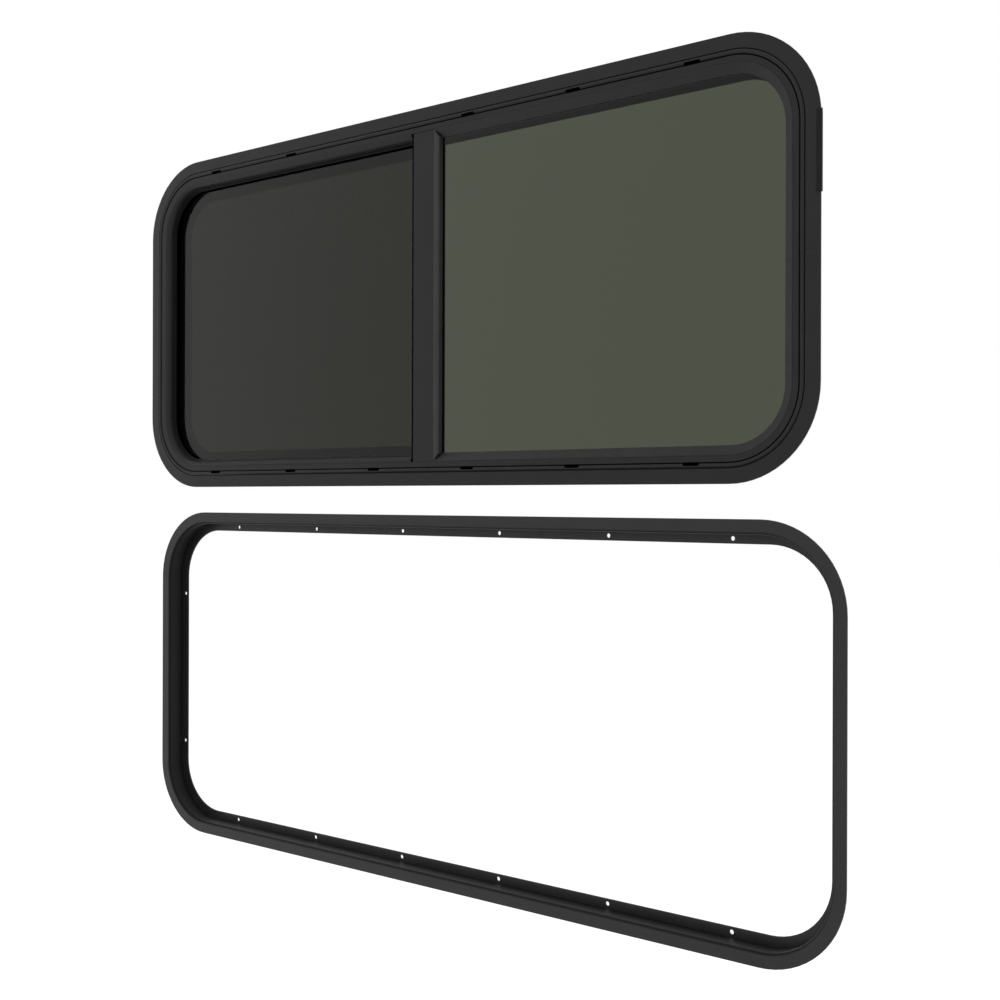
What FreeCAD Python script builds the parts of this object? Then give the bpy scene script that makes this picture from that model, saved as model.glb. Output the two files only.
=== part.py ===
import FreeCAD, Part
import math
import os

Vector = FreeCAD.Vector

# Sliding trailer window: a black aluminium frame for a cut-out with round corners, a fixed pane on
# the right, a sliding sash and an insect screen on the left, and the clamp ring that goes on the
# room side of the wall. Millimetres. X runs right as seen from outside, Y runs into the trailer and
# Z up. The origin is on the back of the flange, in the middle of the sill.

# cut-out in the trailer wall
cutout_width = 914.4
cutout_height = 381.0
cutout_radius = 73.0
cutout_clearance = 0.4

# frame section: distances inwards from the flange edge, and depths
flange_overlap = 18.3
flange_edge_front = 1.4
flange_inner_front = 2.4
ridge_gap = 1.0
ridge_outset = 3.0
ridge_width = 4.2
ridge_flank_width = 0.25
ridge_flank_height = 0.85
ridge_crest = 3.4
ridge_flat_count = 4
groove_floor = 1.6
groove_width = 1.2
shelf_front = 2.2
shelf_width = 5.7
frame_depth = 31.75
outer_wall = 1.3
front_web = 1.3
leg_thickness = 1.6
stop_leg_depth = 8.8
stop_leg_reach = 8.9
rib_depth = 22.2
rib_reach = 5.6
rear_leg_reach = 9.3
screw_slot_width = 3.0
screw_slot_wall = 1.1

# drain slots through the ridge, head and sill, and the screw holes of the clamp ring in line
fixing_count = 6
fixing_end = 39.2
drain_length = 18.0
drain_width = 3.6
drain_start = 17.2
drain_floor = 0.5
drain_head_without = 2

# butt joint of the bent frame section and the clip over its edge, right jamb
seam_width = 0.4
seam_depth = 0.3
clip_bottom = 50.0
clip_arc_angle = 4.0
clip_thickness = 1.2
clip_front = 0.7
clip_cover = 4.0

# fixed pane, its seal and beads
glass_thickness = 4.0
glass_front = 4.0
glass_edge_gap = 2.0
bead_gap = 0.2
bead_reach = 9.9
bead_flat = 1.0
bead_lip = 0.8
bead_leg = 1.4
bead_leg_gap = 0.4
filler_reach = 7.5
filler_flat_count = 4
filler_wall = 1.4
filler_shoulder = 6.2

# mullion between the two halves
mullion_left = -12.2
mullion_width = 32.4
mullion_front = 1.5
mullion_wall = 1.5
mullion_gap = 0.2
mullion_rebate_width = 2.6
mullion_rebate_depth = 0.8
mullion_leg_reach = 8.0
mullion_bead_width = 7.8
mullion_bead_flat = 6.8
mullion_bead_round = 2.5
pile_width = 6.0
pile_offset = 12.0
pile_gap = 0.3

# sliding sash and its tracks
sash_front = 13.3
track_wall = 1.2
track_leg = 1.6
track_reach = 6.6
track_play = 0.4
track_side_gap = 0.2
jamb_seal_reach = 5.6
jamb_seal_play = 0.3
stile_offset = 5.2
stile_width = 25.0
stile_wall = 1.0
stile_pocket = 12.6
stile_pocket_play = 0.3
stile_glass_gap = 0.6
stile_track_gap = 0.5
glide_stem = 12.0
glide_play = 0.3
latch_offset = 0.5
latch_width = 16.0
latch_height = 64.0
latch_depth = 8.5
latch_pocket_height = 40.0
latch_pocket_width = 10.0
latch_pocket_depth = 5.5
latch_radius = 4.0
lever_gap = 0.4
lever_height = 26.0
lever_rise = 1.0
lever_foot = 1.5
lever_tip = 5.0
lever_undercut = 8.0

# insect screen on the room side of the sash
screen_depth = 6.1
screen_edge_gap = 0.4
screen_bar = 16.0
screen_right_gap = 2.2
screen_groove = 3.0
screen_lip = 1.3
screen_groove_depth = 2.9
screen_lip_drop = 0.7
mesh_thickness = 0.3
spline_play = 0.2
tab_inset = 3.0
tab_height = 16.0
tab_thickness = 0.8
tab_rise = 1.7
tab_spacing = 220.0

# clamp ring, shown beside the window with its room face to the front
ring_overlap = 10.0
ring_wall = 1.6
ring_face = 14.0
ring_corner = 3.0
ring_depth = 23.9
ring_lip = 9.2
ring_screw_line = 18.3
screw_hole = 4.4
side_fixing_count = 2
side_fixing_end = 22.5
ring_shift_x = 43.9
ring_shift_y = -23.8
ring_gap = 32.1

# sizes that follow from these
frame_width = cutout_width + 2 * flange_overlap
frame_height = cutout_height + 2 * flange_overlap
frame_radius = cutout_radius + flange_overlap
centre_z = frame_height / 2 - flange_overlap / 2
half_x = frame_width / 2 - frame_radius
half_z = frame_height / 2 - frame_radius
wall_t = flange_overlap + cutout_clearance
ridge_start = flange_overlap - ridge_outset
ridge_end = ridge_start + ridge_width
shelf_start = ridge_end + groove_width
inner_t = shelf_start + shelf_width
stop_t = inner_t + stop_leg_reach
stop_back = stop_leg_depth + leg_thickness
rib_t = inner_t + rib_reach
rib_back = rib_depth + leg_thickness
rear_front = frame_depth - leg_thickness
rear_t = inner_t + rear_leg_reach
screw_t = flange_overlap - ring_overlap + ring_screw_line
slot_outer_t = screw_t - screw_slot_width / 2
slot_inner_t = screw_t + screw_slot_width / 2
boss_t = slot_inner_t + screw_slot_wall
hollow_start = wall_t + outer_wall
hollow_end = slot_outer_t - screw_slot_wall
hollow_front = front_web - shelf_front
glass_back = glass_front + glass_thickness
glass_t = inner_t + glass_edge_gap
bead_t = inner_t + bead_gap
bead_end_t = inner_t + bead_reach
mullion_right = mullion_left + mullion_width
bead_mullion_left = mullion_right + bead_gap
bead_mullion_right = bead_mullion_left + mullion_bead_width
sash_back = sash_front + glass_thickness
track_t = inner_t + track_wall
track_end_t = inner_t + track_reach
sash_t = track_t + track_play
stile_left = mullion_left + stile_offset
stile_right = stile_left + stile_width
stile_front = sash_front - stile_pocket_play - stile_wall
stile_back = sash_back + stile_pocket_play + stile_wall
stile_t = track_end_t + stile_track_gap
sash_right = stile_left + stile_pocket - stile_glass_gap
latch_middle = stile_left + latch_offset + latch_width / 2
screen_front = rib_back
screen_back = screen_front + screen_depth
screen_t = boss_t + screen_edge_gap
screen_inner_t = screen_t + screen_bar
screen_right = mullion_left - screen_right_gap


def path(points):
    """Closed wire through the points; a point given as ('arc', middle, end) is reached by an arc."""
    edges = []
    here = points[0]
    for step in points[1:] + [points[0]]:
        if step[0] == "arc":
            edges.append(Part.Arc(here, step[1], step[2]).toShape())
            here = step[2]
        elif here.distanceToPoint(step) > 1e-7:
            edges.append(Part.LineSegment(here, step).toShape())
            here = step
    return Part.Wire(edges)


def flats(centre, radius, start, end, count):
    """Points of a bend drawn as a few flats, from its first corner after start to end (degrees)."""
    points = []
    for i in range(1, count + 1):
        angle = math.radians(start + (end - start) * i / count)
        points.append((centre[0] + radius * math.cos(angle), centre[1] + radius * math.sin(angle)))
    return points


def place(section, base, inward):
    """Face of a section of (distance inwards, depth) pairs, with its edge at base."""
    def spot(pair):
        return base + inward * pair[0] + Vector(0, pair[1], 0)
    points = []
    for step in section:
        if step[0] == "arc":
            points.append(("arc", spot(step[1]), spot(step[2])))
        else:
            points.append(spot(step))
    return Part.Face(path(points))


def sweep_round(section, width, height, radius, middle_z, left=None, right=None):
    """A section swept round a rectangle with round corners; left or right cuts it to one half."""
    x_run = width / 2 - radius
    z_run = height / 2 - radius
    x_left = -x_run if left is None else left
    x_right = x_run if right is None else right
    turn = Vector(0, -1, 0)
    run = Vector(x_right - x_left, 0, 0)
    top = middle_z + height / 2
    bottom = middle_z - height / 2
    parts = [place(section, Vector(x_left, 0, top), Vector(0, 0, -1)).extrude(run)]
    parts.append(place(section, Vector(x_left, 0, bottom), Vector(0, 0, 1)).extrude(run))
    rise = Vector(0, 0, 2 * z_run)
    if right is None:
        low = middle_z - z_run
        high = middle_z + z_run
        jamb = place(section, Vector(width / 2, 0, low), Vector(-1, 0, 0))
        parts.append(jamb.extrude(rise))
        upper = place(section, Vector(width / 2, 0, high), Vector(-1, 0, 0))
        parts.append(upper.revolve(Vector(x_run, 0, high), turn, 90))
        lower = place(section, Vector(x_run, 0, bottom), Vector(0, 0, 1))
        parts.append(lower.revolve(Vector(x_run, 0, low), turn, 90))
    if left is None:
        low = middle_z - z_run
        high = middle_z + z_run
        jamb = place(section, Vector(-width / 2, 0, low), Vector(1, 0, 0))
        parts.append(jamb.extrude(rise))
        upper = place(section, Vector(-x_run, 0, top), Vector(0, 0, -1))
        parts.append(upper.revolve(Vector(-x_run, 0, high), turn, 90))
        lower = place(section, Vector(-width / 2, 0, low), Vector(1, 0, 0))
        parts.append(lower.revolve(Vector(-x_run, 0, low), turn, 90))
    return parts[0].multiFuse(parts[1:]).removeSplitter()


def frame_sweep(section, left=None, right=None):
    return sweep_round(section, frame_width, frame_height, frame_radius, centre_z, left, right)


def block(x0, x1, y0, y1, z0, z1):
    return Part.makeBox(x1 - x0, y1 - y0, z1 - z0, Vector(x0, y0, z0))


def head(t):
    """Height of a line t inwards from the head's flange edge."""
    return centre_z + frame_height / 2 - t


def sill(t):
    return centre_z - frame_height / 2 + t


def rounded_plate(t, y0, y1, left=None, right=None):
    """Plate that fills the frame to t inwards from the edge, cut square at left or right."""
    x_side = frame_width / 2 - t
    z_side = frame_height / 2 - t
    radius = frame_radius - t
    x0 = -x_side if left is None else left
    x1 = x_side if right is None else right
    plate = block(x0, x1, y0, y1, centre_z - z_side, centre_z + z_side)
    if right is None:
        edges = [e for e in plate.Edges if corner_edge(e, x_side)]
        plate = plate.makeFillet(radius, edges)
    if left is None:
        edges = [e for e in plate.Edges if corner_edge(e, -x_side)]
        plate = plate.makeFillet(radius, edges)
    return plate


def corner_edge(edge, x):
    """True for an edge of a plate that runs through its thickness at x."""
    a = edge.Vertexes[0].Point
    b = edge.Vertexes[-1].Point
    return abs(a.x - x) < 1e-6 and abs(b.x - x) < 1e-6 and abs(a.z - b.z) < 1e-6


def fixing_positions(count, half_run, end):
    """Evenly spaced positions on a straight side, the outer ones at end from where it ends."""
    pitch = 2 * (half_run - end) / (count - 1)
    return [end - half_run + pitch * i for i in range(count)]


def main_frame():
    shoulder = groove_floor + ridge_flank_height
    half_crest = ridge_width / 2 - ridge_flank_width
    rise = ridge_crest - shoulder
    bend = (half_crest ** 2 + rise ** 2) / (2 * rise)
    bend_centre = ((ridge_start + ridge_end) / 2, bend - ridge_crest)
    spread = math.degrees(math.atan2(bend - rise, half_crest))
    section = [
        (0, 0),
        (0, -flange_edge_front),
        (ridge_start - ridge_gap, -flange_inner_front),
        (ridge_start - ridge_gap, -groove_floor),
        (ridge_start, -groove_floor),
        (ridge_start + ridge_flank_width, -shoulder),
    ]
    section += flats(bend_centre, bend, spread - 180, -spread, ridge_flat_count)
    section += [
        (ridge_end, -groove_floor),
        (shelf_start, -groove_floor),
        (shelf_start, -shelf_front),
        (inner_t, -shelf_front),
        (inner_t, stop_leg_depth),
        (stop_t, stop_leg_depth),
        (stop_t, stop_back),
        (inner_t, stop_back),
        (inner_t, rib_depth),
        (rib_t, rib_depth),
        (rib_t, rib_back),
        (boss_t, rib_back),
        (boss_t, rear_front),
        (rear_t, rear_front),
        (rear_t, frame_depth),
        (slot_inner_t, frame_depth),
        (slot_inner_t, rib_back),
        (slot_outer_t, rib_back),
        (slot_outer_t, frame_depth),
        (wall_t, frame_depth),
        (wall_t, 0),
    ]
    hollow = [
        (hollow_start, hollow_front),
        (hollow_end, hollow_front),
        (hollow_end, rear_front),
        (hollow_start, rear_front),
    ]
    frame = frame_sweep(section).cut(frame_sweep(hollow))
    drain_end = drain_start + drain_width
    for i, x in enumerate(fixing_positions(fixing_count, half_x, fixing_end)):
        frame = frame.cut(drain_slot(x, sill(drain_start), sill(drain_end)))
        if i != drain_head_without:
            frame = frame.cut(drain_slot(x, head(drain_end), head(drain_start)))
    edge = frame_width / 2
    seam_top = seam_depth - flange_inner_front
    notch = block(edge - ridge_start + ridge_gap, edge + 1, -ridge_crest, seam_top,
                  centre_z - seam_width / 2, centre_z + seam_width / 2)
    lean = math.degrees(math.atan2(flange_inner_front - flange_edge_front, ridge_start - ridge_gap))
    notch.rotate(Vector(edge - ridge_start + ridge_gap, seam_top, centre_z), Vector(0, 0, 1), lean)
    return frame.cut(notch)


def drain_slot(x, z0, z1):
    """Slot with round ends, cut from the front down into the frame's hollow."""
    radius = (z1 - z0) / 2
    run = drain_length / 2 - radius
    middle = (z0 + z1) / 2
    start = -ridge_crest - 1
    a = Vector(x - run, start, z1)
    b = Vector(x + run, start, z1)
    c = Vector(x + run, start, z0)
    d = Vector(x - run, start, z0)
    right = Vector(x + run + radius, start, middle)
    left = Vector(x - run - radius, start, middle)
    outline = path([a, b, ("arc", right, c), d, ("arc", left, a)])
    return Part.Face(outline).extrude(Vector(0, -drain_floor - start, 0))


def joint_clip():
    """Thin clip pressed over the flange edge above the frame's butt joint."""
    slope = (flange_inner_front - flange_edge_front) / (ridge_start - ridge_gap)
    seat = flange_edge_front + slope * clip_cover
    section = [
        (-clip_thickness, 0),
        (-clip_thickness, -flange_edge_front - clip_front),
        (clip_cover, -seat - clip_front),
        (clip_cover, -seat),
        (0, -flange_edge_front),
        (0, 0),
    ]
    edge = frame_width / 2
    low = Vector(edge, 0, centre_z + clip_bottom)
    high = Vector(edge, 0, centre_z + half_z)
    straight = place(section, low, Vector(-1, 0, 0)).extrude(high - low)
    bend = place(section, high, Vector(-1, 0, 0))
    bend = bend.revolve(Vector(half_x, 0, centre_z + half_z), Vector(0, -1, 0), clip_arc_angle)
    return straight.fuse(bend).removeSplitter()


def fixed_glass():
    left = mullion_right + glass_edge_gap
    return rounded_plate(glass_t, glass_front, glass_back, left=left)


def fixed_glass_seal():
    start = glass_t + bead_leg_gap
    left = mullion_right + glass_edge_gap + bead_leg_gap
    section = [(start, glass_back), (stop_t, glass_back), (stop_t, stop_leg_depth), (start, stop_leg_depth)]
    loop = frame_sweep(section, left=left)
    strip = block(left, mullion_right + mullion_leg_reach, glass_back, stop_leg_depth,
                  sill(start), head(start))
    return loop.fuse(strip).removeSplitter()


def mitre_zone():
    """Prism of the upright bead's front, which both beads meet at their mitres."""
    corners = [
        Vector(bead_mullion_left, 0, sill(bead_t)),
        Vector(bead_mullion_right, 0, sill(bead_end_t)),
        Vector(bead_mullion_right, 0, head(bead_end_t)),
        Vector(bead_mullion_left, 0, head(bead_t)),
    ]
    zone = Part.Face(path(corners)).extrude(Vector(0, frame_depth, 0))
    zone.translate(Vector(0, -frame_depth / 2, 0))
    return zone


def glazing_bead_perimeter():
    """Wedge that slopes from the frame's face down to the glass, with a leg beside the glass edge."""
    section = [
        (bead_t, -shelf_front),
        (bead_t + bead_flat, -shelf_front),
        (bead_end_t, glass_front - bead_lip),
        (bead_end_t, glass_front),
        (bead_t + bead_leg, glass_front),
        (bead_t + bead_leg, stop_leg_depth - bead_leg_gap),
        (bead_t, stop_leg_depth - bead_leg_gap),
    ]
    loop = frame_sweep(section, left=bead_mullion_left)
    return loop.cut(mitre_zone())


def glazing_bead_mullion():
    """Upright bead, flat beside the bar and bent down over a round nose to the glass."""
    section = [
        (0, -shelf_front),
        (mullion_bead_flat, -shelf_front),
        (mullion_bead_width, glass_front - bead_lip),
        (mullion_bead_width, glass_front),
        (0, glass_front),
    ]
    base = Vector(bead_mullion_left, 0, sill(bead_t))
    bar = place(section, base, Vector(1, 0, 0)).extrude(Vector(0, 0, head(bead_t) - sill(bead_t)))
    nose_x = bead_mullion_left + mullion_bead_flat
    nose = [e for e in bar.Edges if e.Length > frame_radius and abs(e.Vertexes[0].X - nose_x) < 1e-6]
    return bar.makeFillet(mullion_bead_round, nose).common(mitre_zone())


def filler_bead():
    """Rounded bead that fills the glazing pocket on the sash half, where no pane is fixed."""
    end = bead_t + filler_reach - bead_gap
    start = bead_t + filler_wall
    inner = end - filler_wall
    rise = filler_shoulder + shelf_front
    section = [(bead_t, -shelf_front), (start, -shelf_front)]
    for i in range(1, filler_flat_count + 1):
        angle = math.radians(90 * i / filler_flat_count)
        section.append((start + (end - start) * math.sin(angle), filler_shoulder - rise * math.cos(angle)))
    section += [
        (end, stop_leg_depth),
        (inner, stop_leg_depth),
        (inner, filler_shoulder),
        (start, filler_shoulder - rise + filler_wall + filler_wall),
        (start, glass_front),
        (bead_t, glass_front),
    ]
    return frame_sweep(section, right=mullion_left - 2 * bead_gap)


def mullion_bar():
    """Hollow upright with a rebate along its left edge and a leg behind the fixed pane."""
    low = sill(inner_t + mullion_gap)
    high = head(inner_t + mullion_gap)
    box = block(mullion_left, mullion_right, -mullion_front, stop_leg_depth, low, high)
    rebate = block(mullion_left - 1, mullion_left + mullion_rebate_width, -mullion_front - 1,
                   mullion_rebate_depth - mullion_front, low, high)
    hollow_left = mullion_left + mullion_rebate_width + mullion_wall
    hollow = block(hollow_left, mullion_right - mullion_wall, mullion_wall - mullion_front,
                   stop_leg_depth - mullion_wall, low, high)
    leg_low = sill(stop_t + 2 * mullion_gap)
    leg_high = head(stop_t + 2 * mullion_gap)
    leg = block(mullion_left, mullion_right + mullion_leg_reach, stop_leg_depth, stop_back,
                leg_low, leg_high)
    return box.cut(rebate).cut(hollow).fuse(leg).removeSplitter()


def mullion_pile():
    left = mullion_left + pile_offset
    return block(left, left + pile_width, stop_back, stile_front - pile_gap,
                 sill(stop_t + 3 * mullion_gap), head(stop_t + 3 * mullion_gap))


def track_section(reach, play):
    """Channel that guides the sash glass, with its back on the frame's inner wall."""
    front = sash_front - play
    back = sash_back + play
    end = inner_t + reach
    return [
        (inner_t, stop_back + track_side_gap),
        (track_t, stop_back + track_side_gap),
        (track_t, front - track_leg),
        (end, front - track_leg),
        (end, front),
        (track_t, front),
        (track_t, back),
        (end, back),
        (end, back + track_leg),
        (track_t, back + track_leg),
        (track_t, rib_depth - track_side_gap),
        (inner_t, rib_depth - track_side_gap),
    ]


def sash_track_head():
    section = track_section(track_reach, track_play)
    face = place(section, Vector(-half_x, 0, head(0)), Vector(0, 0, -1))
    return face.extrude(Vector(2 * half_x, 0, 0))


def sash_track_sill():
    section = track_section(track_reach, track_play)
    face = place(section, Vector(-half_x, 0, sill(0)), Vector(0, 0, 1))
    return face.extrude(Vector(2 * half_x, 0, 0))


def jamb_seal():
    section = track_section(jamb_seal_reach, jamb_seal_play)
    face = place(section, Vector(-frame_width / 2, 0, centre_z - half_z), Vector(1, 0, 0))
    return face.extrude(Vector(0, 0, 2 * half_z))


def sash_glass():
    return rounded_plate(sash_t, sash_front, sash_back, right=sash_right)


def sash_stile():
    """Upright of the sash: a pocket holds the glass, and a hollow takes the glides."""
    low = sill(stile_t)
    high = head(stile_t)
    bar = block(stile_left, stile_right, stile_front, stile_back, low, high)
    pocket = block(stile_left, stile_left + stile_pocket, stile_front + stile_wall,
                   stile_back - stile_wall, low, high)
    hollow = block(stile_left + stile_pocket + 2 * stile_wall, stile_right - stile_wall,
                   stile_front + stile_wall, stile_back - stile_wall, low, high)
    return bar.cut(pocket).cut(hollow)


def sash_glide(is_head):
    """Block in the end of the stile that runs in the track."""
    left = stile_left + stile_pocket + 2 * stile_wall + glide_play
    right = stile_right - stile_wall - glide_play
    front = stile_front + stile_wall + glide_play
    back = stile_back - stile_wall - glide_play
    if is_head:
        return block(left, right, front, back, head(stile_t + glide_stem), head(sash_t))
    return block(left, right, front, back, sill(sash_t), sill(stile_t + glide_stem))


def latch_housing():
    """Housing on the room face of the stile, with a pocket for the finger lever."""
    low = centre_z - latch_height / 2
    body = block(latch_middle - latch_width / 2, latch_middle + latch_width / 2, stile_back,
                 stile_back + latch_depth, low, low + latch_height)
    edges = [e for e in body.Edges if abs(e.Vertexes[0].Y - e.Vertexes[-1].Y) > 1e-6]
    body = body.makeFillet(latch_radius, edges)
    pocket = block(latch_middle - latch_pocket_width / 2, latch_middle + latch_pocket_width / 2,
                   stile_back + latch_depth - latch_pocket_depth, stile_back + latch_depth + 1,
                   centre_z - latch_pocket_height / 2, centre_z + latch_pocket_height / 2)
    return body.cut(pocket)


def latch_lever():
    """Finger lever, a wedge that stands up towards the top of its pocket."""
    floor = stile_back + latch_depth - latch_pocket_depth
    top = stile_back + latch_depth + lever_rise
    low = centre_z - latch_pocket_height / 2 + lever_gap
    half = latch_pocket_width / 2 - lever_gap
    left = latch_middle - half
    outline = [
        Vector(left, floor, low),
        Vector(left, floor + lever_foot, low),
        Vector(left, top, low + lever_height - lever_tip),
        Vector(left, top, low + lever_height),
        Vector(left, floor, low + lever_height - lever_undercut),
    ]
    return Part.Face(path(outline)).extrude(Vector(2 * half, 0, 0))


def screen_frame():
    """Roll-formed bar bent round the left half, with a groove for the spline on the room side."""
    body = rounded_plate(screen_t, screen_front, screen_back, right=screen_right)
    window = rounded_plate(screen_inner_t, screen_front, screen_back, right=screen_right - screen_bar)
    lip_t = screen_inner_t - screen_lip
    groove_right = screen_right - screen_bar + screen_lip
    groove_top = screen_back - screen_groove_depth
    groove = rounded_plate(lip_t - screen_groove, groove_top, screen_back,
                           right=groove_right + screen_groove)
    keep = rounded_plate(lip_t, groove_top, screen_back - screen_lip_drop, right=groove_right)
    return body.cut(groove.cut(keep)).cut(window).removeSplitter()


def screen_mesh():
    lip_t = screen_inner_t - screen_lip
    groove_right = screen_right - screen_bar + screen_lip
    top = screen_back - screen_lip_drop
    reach = screen_groove - spline_play
    return rounded_plate(lip_t - reach, top, top + mesh_thickness, right=groove_right + reach)


def screen_spline():
    lip_t = screen_inner_t - screen_lip
    groove_right = screen_right - screen_bar + screen_lip
    floor = screen_back - screen_groove_depth
    top = screen_back - screen_lip_drop
    reach = screen_groove - spline_play
    outer = rounded_plate(lip_t - reach, floor, top, right=groove_right + reach)
    inner = rounded_plate(lip_t - spline_play, floor, top, right=groove_right + spline_play)
    return outer.cut(inner)


def screen_pull_tabs():
    """Two tabs beside the spline of the screen's upright, with turned-up ends to pull it out."""
    left = screen_right - screen_bar + screen_lip + screen_groove
    right = screen_right - tab_inset
    tabs = []
    for side in (-1, 1):
        low = centre_z + side * tab_spacing / 2 - tab_height / 2
        foot = block(left, right, screen_back, screen_back + tab_thickness, low, low + tab_height)
        end = block(right - tab_thickness, right, screen_back, screen_back + tab_rise, low, low + tab_height)
        tabs.append(foot.fuse(end).removeSplitter())
    return Part.makeCompound(tabs)


def clamp_ring():
    """Ring that covers the cut-out's edge inside; screws through its lip pull it to the frame."""
    width = cutout_width + 2 * ring_overlap
    height = cutout_height + 2 * ring_overlap
    radius = cutout_radius + ring_overlap
    bend_centre = (ring_face - ring_corner, ring_corner)
    outer_face = ring_face - ring_wall
    section = [(0, 0), (ring_face - ring_corner, 0)]
    section += flats(bend_centre, ring_corner, -90, 0, 3)
    section += [
        (ring_face, ring_depth - ring_wall),
        (ring_face + ring_lip, ring_depth - ring_wall),
        (ring_face + ring_lip, ring_depth),
        (outer_face, ring_depth),
        (outer_face, ring_corner),
        (ring_face - ring_corner, ring_wall),
        (0, ring_wall),
    ]
    ring = sweep_round(section, width, height, radius, 0)
    start = Vector(0, ring_depth - ring_wall - 1, 0)
    drill = Vector(0, 1, 0)
    holes = []
    for x in fixing_positions(fixing_count, half_x, fixing_end):
        for side in (-1, 1):
            spot = Vector(x, 0, side * (height / 2 - ring_screw_line))
            holes.append(Part.makeCylinder(screw_hole / 2, ring_wall + 2, spot + start, drill))
    for z in fixing_positions(side_fixing_count, half_z, side_fixing_end):
        for side in (-1, 1):
            spot = Vector(side * (width / 2 - ring_screw_line), 0, z)
            holes.append(Part.makeCylinder(screw_hole / 2, ring_wall + 2, spot + start, drill))
    ring = ring.cut(Part.makeCompound(holes))
    drop = frame_height / 2 + ring_gap + height / 2
    ring.translate(Vector(ring_shift_x, ring_shift_y, centre_z - drop))
    return ring


pieces = {
    "main_frame": main_frame(),
    "joint_clip": joint_clip(),
    "mullion_bar": mullion_bar(),
    "mullion_pile": mullion_pile(),
    "fixed_glass": fixed_glass(),
    "fixed_glass_seal": fixed_glass_seal(),
    "glazing_bead_perimeter": glazing_bead_perimeter(),
    "glazing_bead_mullion": glazing_bead_mullion(),
    "filler_bead": filler_bead(),
    "sash_track_head": sash_track_head(),
    "sash_track_sill": sash_track_sill(),
    "jamb_seal": jamb_seal(),
    "sash_glass": sash_glass(),
    "sash_stile": sash_stile(),
    "sash_glide_upper": sash_glide(True),
    "sash_glide_lower": sash_glide(False),
    "latch_housing": latch_housing(),
    "latch_lever": latch_lever(),
    "screen_frame": screen_frame(),
    "screen_mesh": screen_mesh(),
    "screen_spline": screen_spline(),
    "screen_pull_tabs": screen_pull_tabs(),
    "clamp_ring": clamp_ring(),
}

os.makedirs("parts", exist_ok=True)
for name, shape in pieces.items():
    box = shape.BoundBox
    print("%-24s solids %d valid %s volume %9.0f  x %7.1f %7.1f  y %6.2f %6.2f  z %7.1f %7.1f" % (
        name, len(shape.Solids), shape.isValid(), shape.Volume,
        box.XMin, box.XMax, box.YMin, box.YMax, box.ZMin, box.ZMax))
    shape.exportStep("parts/" + name + ".step")
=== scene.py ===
import math

import bpy
from mathutils import Matrix, Vector


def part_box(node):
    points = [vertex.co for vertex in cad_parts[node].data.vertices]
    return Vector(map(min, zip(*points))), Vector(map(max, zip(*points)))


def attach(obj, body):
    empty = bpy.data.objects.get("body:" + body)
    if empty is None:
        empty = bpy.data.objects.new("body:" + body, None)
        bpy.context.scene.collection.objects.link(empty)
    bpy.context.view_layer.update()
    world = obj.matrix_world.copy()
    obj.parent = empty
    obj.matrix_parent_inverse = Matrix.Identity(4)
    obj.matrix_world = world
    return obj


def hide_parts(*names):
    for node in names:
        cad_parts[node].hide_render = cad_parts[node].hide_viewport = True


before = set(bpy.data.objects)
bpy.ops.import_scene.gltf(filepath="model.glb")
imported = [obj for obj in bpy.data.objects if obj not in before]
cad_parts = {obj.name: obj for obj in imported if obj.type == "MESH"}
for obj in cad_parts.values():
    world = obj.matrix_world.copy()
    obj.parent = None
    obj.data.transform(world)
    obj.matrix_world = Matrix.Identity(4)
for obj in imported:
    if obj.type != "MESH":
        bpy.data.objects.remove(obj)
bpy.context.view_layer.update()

# metres, in the frame of the part: X right as seen from outside, Y into the trailer, Z up
frame_low, frame_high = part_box("main_frame")
ring_low, ring_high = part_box("clamp_ring")
frame_corner = 0.0913
ring_corner = 0.0830
screen_corner = 0.0498
screen_edge_gap = 0.0005

# insect screen
mesh_pitch = 0.00127
wire_size = 0.00042

# light on matt surfaces, where 1 is white; lamps in watts
room_light = 0.9
white_light = 1.0
lamp_above = 60
lamp_behind = 30

# floor: matt tone, and the painted glow that whitens it more with distance from the centre, so it
# stays darker near the part
floor_half = 30.0
floor_drop = 1.2
floor_tone = 0.6
floor_glow_start = 1.0
floor_white_reach = 2.6
floor_glow_near = 0.0
floor_glow_far = 0.5

# camera, from the window's centre: turn to the left, roll, and place
camera_turn = 38.411
camera_roll = 0.156
camera_right = 0.08836
camera_back = 1.47857
camera_down = 0.22366
camera_sensor = 36
camera_focal_ratio = 1.33497
camera_shift = -0.0006

# frame's section, as distance inwards from its edge and as depth
# drain slots, where the coat gets painted shade
drain_inwards = (0.0170, 0.0212)
drain_depth = (-0.00155, -0.00005)
gap_floor = -0.0012
# each gap beside the ridge: its start, end and top, and how dark its painted shade is
ridge_gaps = ((0.0142, 0.0155, -0.0020, 0.6), (0.0193, 0.0208, -0.0019, 0.85))

# ring's section, in the same way
ring_wall_start = 0.0110
ring_wall_full = 0.0128
ring_lip_depth = -0.0026
ring_edge_depth = -0.0222
ring_inner_depth = -0.0205
# strength of the painted shade at the rounded front edge and deeper in the wall
ring_edge_shade = 0.65
ring_inner_shade = 0.55
# die lines on the ring's face: place, width and strength
ring_lines = ((0.004, 0.0003, 0.5), (0.007, 0.0003, 0.5))

# mullion bar: painted shade along its left rebate, and a painted dark line for the gap beside the
# upright bead near its ends
rebate_width = 0.00265
rebate_depth = 0.0001
gap_shade_width = 0.0009
gap_shade_length = 0.022

# finishes: scales of the noise per metre, roughness, and heights of the relief
noise_low = 0.3
noise_high = 0.7
coat_cloud_scale = 24.0
coat_wear_scale = 60.0
coat_peel_scale = 1500.0
coat_drawn_scale = 900.0
coat_smooth = 0.34
coat_rough = 0.42
peel_height = 0.0002
drawn_height = 0.0003
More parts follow.
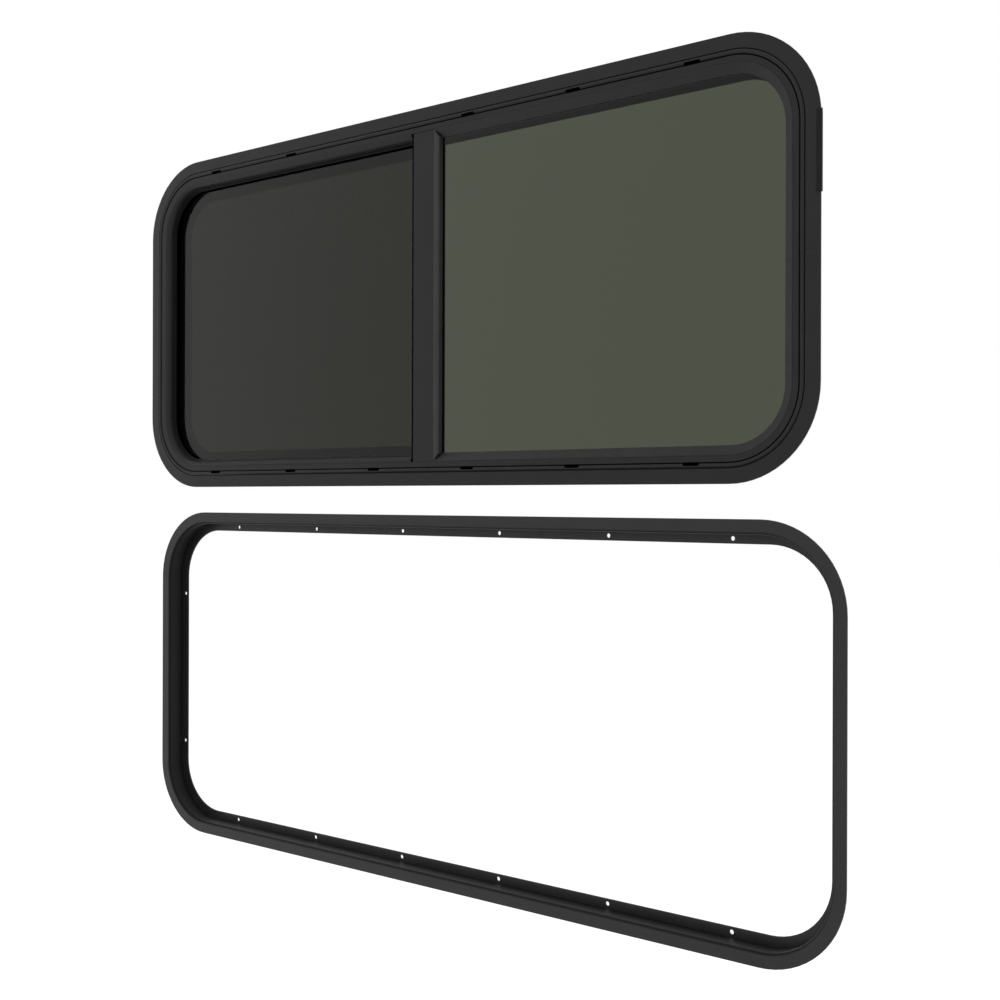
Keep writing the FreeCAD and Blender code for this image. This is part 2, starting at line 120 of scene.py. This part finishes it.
# painted shade: its near-black tone and its roughness
painted_shade_tone = 0.001
painted_shade_roughness = 0.9
vinyl_cloud_scale = 30.0
vinyl_wear_scale = 90.0
vinyl_lighter = 1.3
vinyl_smoother = 0.04
vinyl_rougher = 0.06
vinyl_grain_height = 0.0002
glass_wave_scale = 9.0
glass_wave_height = 0.004
glass_ior = 1.5


# camera

def make_camera():
    """Camera on the outside, to the right of the window and a little below its centre."""
    centre = (frame_low + frame_high) / 2
    turn = math.radians(camera_turn)
    roll = math.radians(camera_roll)
    right = Vector((math.cos(turn), math.sin(turn), 0))
    forward = Vector((-math.sin(turn), math.cos(turn), 0))
    up = Vector((0, 0, 1))
    place = Vector((centre.x, 0, centre.z))
    place += right * camera_right - forward * camera_back - up * camera_down
    across = right * math.cos(roll) + up * math.sin(roll)
    upward = up * math.cos(roll) - right * math.sin(roll)
    data = bpy.data.cameras.new("photo_camera")
    data.sensor_width = camera_sensor
    data.lens = camera_sensor * camera_focal_ratio
    data.shift_y = camera_shift
    camera = bpy.data.objects.new("photo_camera", data)
    bpy.context.scene.collection.objects.link(camera)
    turned = Matrix((across, upward, -forward)).transposed().to_4x4()
    camera.matrix_world = Matrix.Translation(place) @ turned
    bpy.context.scene.camera = camera


# studio

def node(tree, kind, **values):
    """A new shader or geometry node, with its attributes."""
    made = tree.nodes.new(kind)
    for name, value in values.items():
        setattr(made, name, value)
    return made


def link(tree, source, target):
    tree.links.new(source, target)


def light_value(tree, strength):
    made = node(tree, "ShaderNodeBackground")
    made.inputs["Color"].default_value = (1, 1, 1, 1)
    made.inputs["Strength"].default_value = strength
    return made.outputs[0]


def mix_shaders(tree, factor, first, second):
    made = node(tree, "ShaderNodeMixShader")
    link(tree, factor, made.inputs["Fac"])
    link(tree, first, made.inputs[1])
    link(tree, second, made.inputs[2])
    return made.outputs[0]


def background_rays(tree):
    """1 for the rays that show the white background: camera, glossy and transmission rays."""
    seen = node(tree, "ShaderNodeLightPath").outputs
    shown = math_node(tree, "MAXIMUM", seen["Is Camera Ray"], seen["Is Transmission Ray"])
    return math_node(tree, "MAXIMUM", shown, seen["Is Glossy Ray"])


def make_studio():
    """White background, which metal and glass show too, and plain soft light on matt surfaces."""
    scene = bpy.context.scene
    scene.view_settings.view_transform = "Standard"
    world = bpy.data.worlds.new("studio")
    scene.world = world
    world.use_nodes = True
    tree = world.node_tree
    tree.nodes.clear()
    output = node(tree, "ShaderNodeOutputWorld")
    matte = light_value(tree, room_light)
    white = light_value(tree, white_light)
    link(tree, mix_shaders(tree, background_rays(tree), matte, white), output.inputs["Surface"])

    add_light("light_above", (0.9, 0.4, 3.0), (0, 0, -0.1), 2.4, 1.8, lamp_above)
    add_light("light_behind", (0.6, 3.0, 1.8), (0, 0, 0), 2.4, 1.4, lamp_behind)
    make_floor()


def add_light(name, place, target, width, height, power):
    """Broad lamp that lights matt surfaces and doesn't show in gloss."""
    data = bpy.data.lights.new(name, "AREA")
    data.shape = "RECTANGLE"
    data.size = width
    data.size_y = height
    data.energy = power
    light = bpy.data.objects.new(name, data)
    bpy.context.scene.collection.objects.link(light)
    towards = Vector(target) - Vector(place)
    light.location = place
    light.rotation_euler = towards.to_track_quat("-Z", "Y").to_euler()
    light.visible_glossy = False


def make_floor():
    """Plain pale floor well below the part, lit matt so that it keeps its shadow, with a painted
    glow that grows with distance from the centre, so it is darker near the part.
    """
    level = ring_low.z - floor_drop
    mesh = bpy.data.meshes.new("floor")
    signs = ((-1, -1), (1, -1), (1, 1), (-1, 1))
    corners = [(x * floor_half, y * floor_half, level) for x, y in signs]
    mesh.from_pydata(corners, [], [(0, 1, 2, 3)])
    floor = bpy.data.objects.new("floor", mesh)
    bpy.context.scene.collection.objects.link(floor)
    material = bpy.data.materials.new("pale_floor")
    material.use_nodes = True
    tree = material.node_tree
    tree.nodes.clear()
    output = node(tree, "ShaderNodeOutputMaterial")
    matte = node(tree, "ShaderNodeBsdfDiffuse")
    matte.inputs["Color"].default_value = grey(floor_tone)
    backdrop = background_rays(tree)
    x, y, _ = coordinates(tree)
    squares = [math_node(tree, "MULTIPLY", value, value) for value in (x, y)]
    away = math_node(tree, "SQRT", math_node(tree, "ADD", *squares))
    strength = ramp(tree, away, floor_glow_start, floor_white_reach,
                    floor_glow_near, floor_glow_far)
    glow = node(tree, "ShaderNodeEmission")
    link(tree, math_node(tree, "MULTIPLY", backdrop, strength), glow.inputs["Strength"])
    both_shares = node(tree, "ShaderNodeAddShader")
    link(tree, matte.outputs[0], both_shares.inputs[0])
    link(tree, glow.outputs[0], both_shares.inputs[1])
    link(tree, both_shares.outputs[0], output.inputs["Surface"])
    mesh.materials.append(material)


# finishes

def new_finish(name, gloss):
    material = bpy.data.materials.new(name)
    material.use_nodes = True
    tree = material.node_tree
    tree.nodes.clear()
    output = node(tree, "ShaderNodeOutputMaterial")
    shader = node(tree, "ShaderNodeBsdfPrincipled")
    shader.inputs["Specular IOR Level"].default_value = gloss
    link(tree, shader.outputs[0], output.inputs["Surface"])
    return material, tree, shader


def math_node(tree, operation, a, b=None):
    made = node(tree, "ShaderNodeMath", operation=operation)
    for socket, value in ((made.inputs[0], a), (made.inputs[1], b)):
        if value is None:
            continue
        if isinstance(value, (int, float)):
            socket.default_value = value
        else:
            link(tree, value, socket)
    return made.outputs[0]


def inward_distance(tree, low, high, corner):
    """Distance inwards from a frame's round-cornered outline, the same all along its section."""
    place = node(tree, "ShaderNodeTexCoord").outputs["Object"]
    split = node(tree, "ShaderNodeSeparateXYZ")
    link(tree, place, split.inputs[0])
    beyond = []
    for axis, name in ((0, "X"), (2, "Z")):
        middle = (low[axis] + high[axis]) / 2
        half = (high[axis] - low[axis]) / 2 - corner
        offset = math_node(tree, "SUBTRACT", split.outputs[name], middle)
        beyond.append(math_node(tree, "SUBTRACT", math_node(tree, "ABSOLUTE", offset), half))
    outside = [math_node(tree, "MAXIMUM", value, 0.0) for value in beyond]
    squares = [math_node(tree, "MULTIPLY", value, value) for value in outside]
    reach = math_node(tree, "SQRT", math_node(tree, "ADD", *squares))
    inside = math_node(tree, "MINIMUM", math_node(tree, "MAXIMUM", *beyond), 0.0)
    return math_node(tree, "SUBTRACT", corner, math_node(tree, "ADD", reach, inside))


def noise(tree, scale, detail=2.0, roughness=0.5, along=None):
    """Noise in the piece's space, or along one distance where that is given."""
    made = node(tree, "ShaderNodeTexNoise", noise_dimensions="3D" if along is None else "1D")
    made.inputs["Scale"].default_value = scale
    made.inputs["Detail"].default_value = detail
    made.inputs["Roughness"].default_value = roughness
    if along is None:
        place = node(tree, "ShaderNodeTexCoord").outputs["Object"]
        link(tree, place, made.inputs["Vector"])
    else:
        link(tree, along, made.inputs["W"])
    return made.outputs["Fac"]


def ramp(tree, factor, low, high, out_low=0, out_high=1):
    made = node(tree, "ShaderNodeMapRange")
    link(tree, factor, made.inputs["Value"])
    made.inputs["From Min"].default_value = low
    made.inputs["From Max"].default_value = high
    made.inputs["To Min"].default_value = out_low
    made.inputs["To Max"].default_value = out_high
    return made.outputs["Result"]


def patches(tree, texture, out_low=0, out_high=1):
    """A noise stretched to the given range, level at its two ends."""
    return ramp(tree, texture, noise_low, noise_high, out_low, out_high)


def grey(value):
    return (value, value, value, 1)


def mix_colour(tree, factor, first, second):
    """Mix of two colours; the first may come from a node."""
    made = node(tree, "ShaderNodeMix", data_type="RGBA")
    link(tree, factor, made.inputs[0])
    if isinstance(first, tuple):
        made.inputs[6].default_value = first
    else:
        link(tree, first, made.inputs[6])
    made.inputs[7].default_value = second
    return made.outputs[2]


def bump(tree, height, strength, distance, under=None):
    made = node(tree, "ShaderNodeBump")
    made.inputs["Strength"].default_value = strength
    made.inputs["Distance"].default_value = distance
    link(tree, height, made.inputs["Height"])
    if under is not None:
        link(tree, under, made.inputs["Normal"])
    return made.outputs["Normal"]


def above(tree, value, edge):
    return math_node(tree, "GREATER_THAN", value, edge)


def below(tree, value, edge):
    return math_node(tree, "LESS_THAN", value, edge)


def both(tree, *masks):
    result = masks[0]
    for mask in masks[1:]:
        result = math_node(tree, "MULTIPLY", result, mask)
    return result


def coordinates(tree):
    split = node(tree, "ShaderNodeSeparateXYZ")
    link(tree, node(tree, "ShaderNodeTexCoord").outputs["Object"], split.inputs[0])
    return split.outputs["X"], split.outputs["Y"], split.outputs["Z"]


def powder_coat(name, dark, light, gloss, low, high, corner, lines=(), shade=None):
    """Satin powder coat on an extrusion: fine orange peel, faint die lines along the section."""
    material, tree, shader = new_finish(name, gloss)
    inwards = inward_distance(tree, low, high, corner)
    cloud = patches(tree, noise(tree, coat_cloud_scale, 4.0, 0.6))
    colour = mix_colour(tree, cloud, grey(dark), grey(light))
    rough = patches(tree, noise(tree, coat_wear_scale, 3.0), coat_smooth, coat_rough)
    peel = bump(tree, noise(tree, coat_peel_scale, 1.0), 0.10, peel_height)
    drawn = noise(tree, coat_drawn_scale, 3.0, 0.7, along=inwards)
    surface = bump(tree, drawn, 0.08, drawn_height, under=peel)
    for place, width, depth in lines:
        off = math_node(tree, "ABSOLUTE", math_node(tree, "SUBTRACT", inwards, place))
        surface = bump(tree, ramp(tree, off, 0, width), depth, drawn_height, under=surface)
    # painted shade where the mask is: the colour goes near black, and metallic with that black
    # colour takes most of the gloss away too
    if shade is not None:
        mask = shade(tree, inwards)
        colour = mix_colour(tree, mask, colour, grey(painted_shade_tone))
        dull = math_node(tree, "MULTIPLY", mask, painted_shade_roughness)
        rough = math_node(tree, "MAXIMUM", rough, dull)
        link(tree, mask, shader.inputs["Metallic"])
    link(tree, colour, shader.inputs["Base Color"])
    link(tree, rough, shader.inputs["Roughness"])
    link(tree, surface, shader.inputs["Normal"])
    return material


def ring_painted_shade(tree, inwards):
    """Painted shade on the ring's inner wall and its rounded front edge, which also dulls their
    gloss.
    """
    depth = coordinates(tree)[1]
    wall = ramp(tree, inwards, ring_wall_start, ring_wall_full)
    shade = ramp(tree, depth, ring_edge_depth, ring_inner_depth,
                 ring_edge_shade, ring_inner_shade)
    return both(tree, wall, below(tree, depth, ring_lip_depth), shade)


def frame_painted_shade(tree, inwards):
    """Painted shade in the drain slots, for the dark hollow they open into, and in the gaps beside
    the ridge.
    """
    depth = coordinates(tree)[1]
    slot_shade = both(tree, above(tree, depth, drain_depth[0]), below(tree, depth, drain_depth[1]),
                 above(tree, inwards, drain_inwards[0]), below(tree, inwards, drain_inwards[1]))
    gap_shades = []
    for start, end, top, dark in ridge_gaps:
        gap_shade = both(tree, above(tree, depth, top), below(tree, depth, gap_floor),
                   above(tree, inwards, start), below(tree, inwards, end))
        gap_shades.append(math_node(tree, "MULTIPLY", gap_shade, dark))
    return math_node(tree, "MAXIMUM", slot_shade, math_node(tree, "MAXIMUM", *gap_shades))


def mullion_painted_shade(tree, inwards):
    """Painted shade along the rebate at the bar's left edge, and a painted dark line for the gap
    beside the upright bead at its ends.
    """
    x, depth, z = coordinates(tree)
    low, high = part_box("mullion_bar")
    rebate_shade = both(tree, below(tree, x, low.x + rebate_width),
                  above(tree, depth, low.y + rebate_depth))
    offset = math_node(tree, "SUBTRACT", z, (low.z + high.z) / 2)
    reach = math_node(tree, "ABSOLUTE", offset)
    bar_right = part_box("glazing_bead_mullion")[0].x
    gap_shade = both(tree, above(tree, x, bar_right - gap_shade_width), below(tree, x, bar_right),
               above(tree, reach, (high.z - low.z) / 2 - gap_shade_length))
    return math_node(tree, "MAXIMUM", rebate_shade, gap_shade)


def soft_black(name, tone, rough, grain, gloss=0.3):
    """Moulded or extruded vinyl and rubber: matt grain and slight change of tone."""
    material, tree, shader = new_finish(name, gloss)
    cloud = patches(tree, noise(tree, vinyl_cloud_scale, 3.0, 0.6))
    colour = mix_colour(tree, cloud, grey(tone), grey(tone * vinyl_lighter))
    worn = patches(tree, noise(tree, vinyl_wear_scale, 2.0),
                   rough - vinyl_smoother, rough + vinyl_rougher)
    fine = bump(tree, noise(tree, grain, 2.0), 0.12, vinyl_grain_height)
    link(tree, colour, shader.inputs["Base Color"])
    link(tree, worn, shader.inputs["Roughness"])
    link(tree, fine, shader.inputs["Normal"])
    return material


def tinted_glass(name, tint, gloss_tone):
    """Tinted tempered pane, its faces very slightly wavy."""
    material, tree, shader = new_finish(name, 0.5)
    shader.inputs["Base Color"].default_value = (*tint, 1)
    shader.inputs["Specular Tint"].default_value = grey(gloss_tone)
    shader.inputs["Transmission Weight"].default_value = 1.0
    shader.inputs["Roughness"].default_value = 0.0
    shader.inputs["IOR"].default_value = glass_ior
    wave = bump(tree, noise(tree, glass_wave_scale, 1.0), 0.02, glass_wave_height)
    link(tree, wave, shader.inputs["Normal"])
    return material


def dress(names, material):
    for name in names:
        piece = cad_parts[name]
        piece.data.materials.clear()
        piece.data.materials.append(material)


def screen_wires(name, body):
    """Square mesh of fine wires over the screen's opening, from two rows of instances."""
    low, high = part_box("screen_mesh")
    tree = bpy.data.node_groups.new("screen_wires", "GeometryNodeTree")
    tree.interface.new_socket("Geometry", in_out="OUTPUT", socket_type="NodeSocketGeometry")
    sizes = (("Width", high.x - low.x), ("Height", high.z - low.z),
             ("Pitch", mesh_pitch), ("Wire", wire_size))
    for label, value in sizes:
        socket = tree.interface.new_socket(label, in_out="INPUT", socket_type="NodeSocketFloat")
        socket.default_value = value
    given = node(tree, "NodeGroupInput")
    result = node(tree, "NodeGroupOutput")
    join = node(tree, "GeometryNodeJoinGeometry")
    centre = (low + high) / 2
    for upright in (True, False):
        along = given.outputs["Height"] if upright else given.outputs["Width"]
        across = given.outputs["Width"] if upright else given.outputs["Height"]
        count = math_node(tree, "FLOOR", math_node(tree, "DIVIDE", across, given.outputs["Pitch"]))
        line = node(tree, "GeometryNodeMeshLine")
        line.mode = "OFFSET"
        link(tree, count, line.inputs["Count"])
        step = node(tree, "ShaderNodeCombineXYZ")
        link(tree, given.outputs["Pitch"], step.inputs["X" if upright else "Z"])
        link(tree, step.outputs[0], line.inputs["Offset"])
        spaces = math_node(tree, "SUBTRACT", count, 1.0)
        spread = math_node(tree, "MULTIPLY", spaces, given.outputs["Pitch"])
        half = math_node(tree, "MULTIPLY", spread, -0.5)
        start = node(tree, "ShaderNodeCombineXYZ")
        link(tree, half, start.inputs["X" if upright else "Z"])
        link(tree, start.outputs[0], line.inputs["Start Location"])
        bar = node(tree, "GeometryNodeMeshCube")
        size = node(tree, "ShaderNodeCombineXYZ")
        link(tree, given.outputs["Wire"] if upright else along, size.inputs["X"])
        link(tree, given.outputs["Wire"], size.inputs["Y"])
        link(tree, along if upright else given.outputs["Wire"], size.inputs["Z"])
        link(tree, size.outputs[0], bar.inputs["Size"])
        rows = node(tree, "GeometryNodeInstanceOnPoints")
        link(tree, line.outputs[0], rows.inputs["Points"])
        link(tree, bar.outputs["Mesh"], rows.inputs["Instance"])
        shift = node(tree, "GeometryNodeTransform")
        link(tree, rows.outputs[0], shift.inputs["Geometry"])
        aside = wire_size / 3 if upright else -wire_size / 3
        shift.inputs["Translation"].default_value = (centre.x, centre.y + aside, centre.z)
        link(tree, shift.outputs[0], join.inputs[0])
    real = node(tree, "GeometryNodeRealizeInstances")
    link(tree, join.outputs[0], real.inputs[0])
    paint = node(tree, "GeometryNodeSetMaterial")
    link(tree, real.outputs[0], paint.inputs["Geometry"])
    paint.inputs["Material"].default_value = soft_black("screen_fibre", 0.01, 0.6, 4000.0)
    link(tree, paint.outputs[0], result.inputs[0])

    holder = bpy.data.objects.new(name + "_maker", bpy.data.meshes.new(name + "_maker"))
    bpy.context.scene.collection.objects.link(holder)
    modifier = holder.modifiers.new("wires", "NODES")
    modifier.node_group = tree
    graph = bpy.context.evaluated_depsgraph_get()
    mesh = bpy.data.meshes.new_from_object(holder.evaluated_get(graph), depsgraph=graph)
    mesh.name = name
    bpy.data.objects.remove(holder)
    trim_to_plate(mesh, low, high)
    piece = bpy.data.objects.new(name, mesh)
    bpy.context.scene.collection.objects.link(piece)
    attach(piece, body)
    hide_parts("screen_mesh")


def trim_to_plate(mesh, low, high):
    """Shortens the wires that would stand out past the screen's round left corners."""
    radius = screen_corner - screen_edge_gap
    middle = (low.z + high.z) / 2
    half = (high.z - low.z) / 2
    bend_x = low.x + radius
    bend_z = half - radius
    at_end = 1e-4
    for vertex in mesh.vertices:
        off = abs(vertex.co.z - middle)
        if vertex.co.x >= bend_x or off <= bend_z:
            continue
        side = 1 if vertex.co.z > middle else -1
        across = bend_x - vertex.co.x
        beyond = off - bend_z
        if across * across + beyond * beyond > radius * radius:
            if abs(off - half) < at_end and across < radius:
                rise = math.sqrt(radius * radius - across * across)
                vertex.co.z = middle + side * (bend_z + rise)
            elif beyond < radius:
                vertex.co.x = bend_x - math.sqrt(radius * radius - beyond * beyond)


make_camera()
make_studio()

# name, darkest and lightest tone, gloss
frame_paint = powder_coat("frame_powder_coat", 0.010, 0.014, 0.23,
                          frame_low, frame_high, frame_corner, shade=frame_painted_shade)
mullion_paint = powder_coat("mullion_powder_coat", 0.009, 0.012, 0.25,
                            frame_low, frame_high, frame_corner, shade=mullion_painted_shade)
bar_paint = powder_coat("screen_and_stile_coat", 0.009, 0.012, 0.25,
                        frame_low, frame_high, frame_corner)
ring_paint = powder_coat("ring_powder_coat", 0.012, 0.016, 0.33,
                         ring_low, ring_high, ring_corner, lines=ring_lines, shade=ring_painted_shade)
# name, tone, roughness, scale of the grain, gloss
vinyl = soft_black("black_vinyl", 0.010, 0.38, 1800.0, 0.24)
glazing_vinyl = soft_black("glazing_vinyl", 0.011, 0.38, 1800.0, 0.27)
# upright bead: the beads' vinyl with its tone raised, a painted lightness for the light on its
# nose
upright_painted_light_vinyl = soft_black("upright_bead_painted_light_vinyl", 0.024, 0.38, 1800.0)
clip_vinyl = soft_black("clip_vinyl", 0.010, 0.32, 1800.0, 0.1)
rubber = soft_black("black_rubber", 0.006, 0.65, 1500.0)
glass = tinted_glass("tinted_glass", (0.0616, 0.0679, 0.0462), 0.4)

dress(["main_frame"], frame_paint)
dress(["mullion_bar"], mullion_paint)
dress(["sash_stile", "screen_frame"], bar_paint)
dress(["joint_clip"], clip_vinyl)
dress(["clamp_ring"], ring_paint)
dress(["glazing_bead_perimeter"], glazing_vinyl)
dress(["glazing_bead_mullion"], upright_painted_light_vinyl)
dress(["filler_bead", "sash_track_head", "sash_track_sill", "jamb_seal", "screen_pull_tabs",
       "sash_glide_upper", "sash_glide_lower", "latch_housing", "latch_lever"], vinyl)
dress(["fixed_glass_seal", "screen_spline", "mullion_pile"], rubber)
dress(["fixed_glass", "sash_glass"], glass)
screen_wires("screen_wire_mesh", "frame")
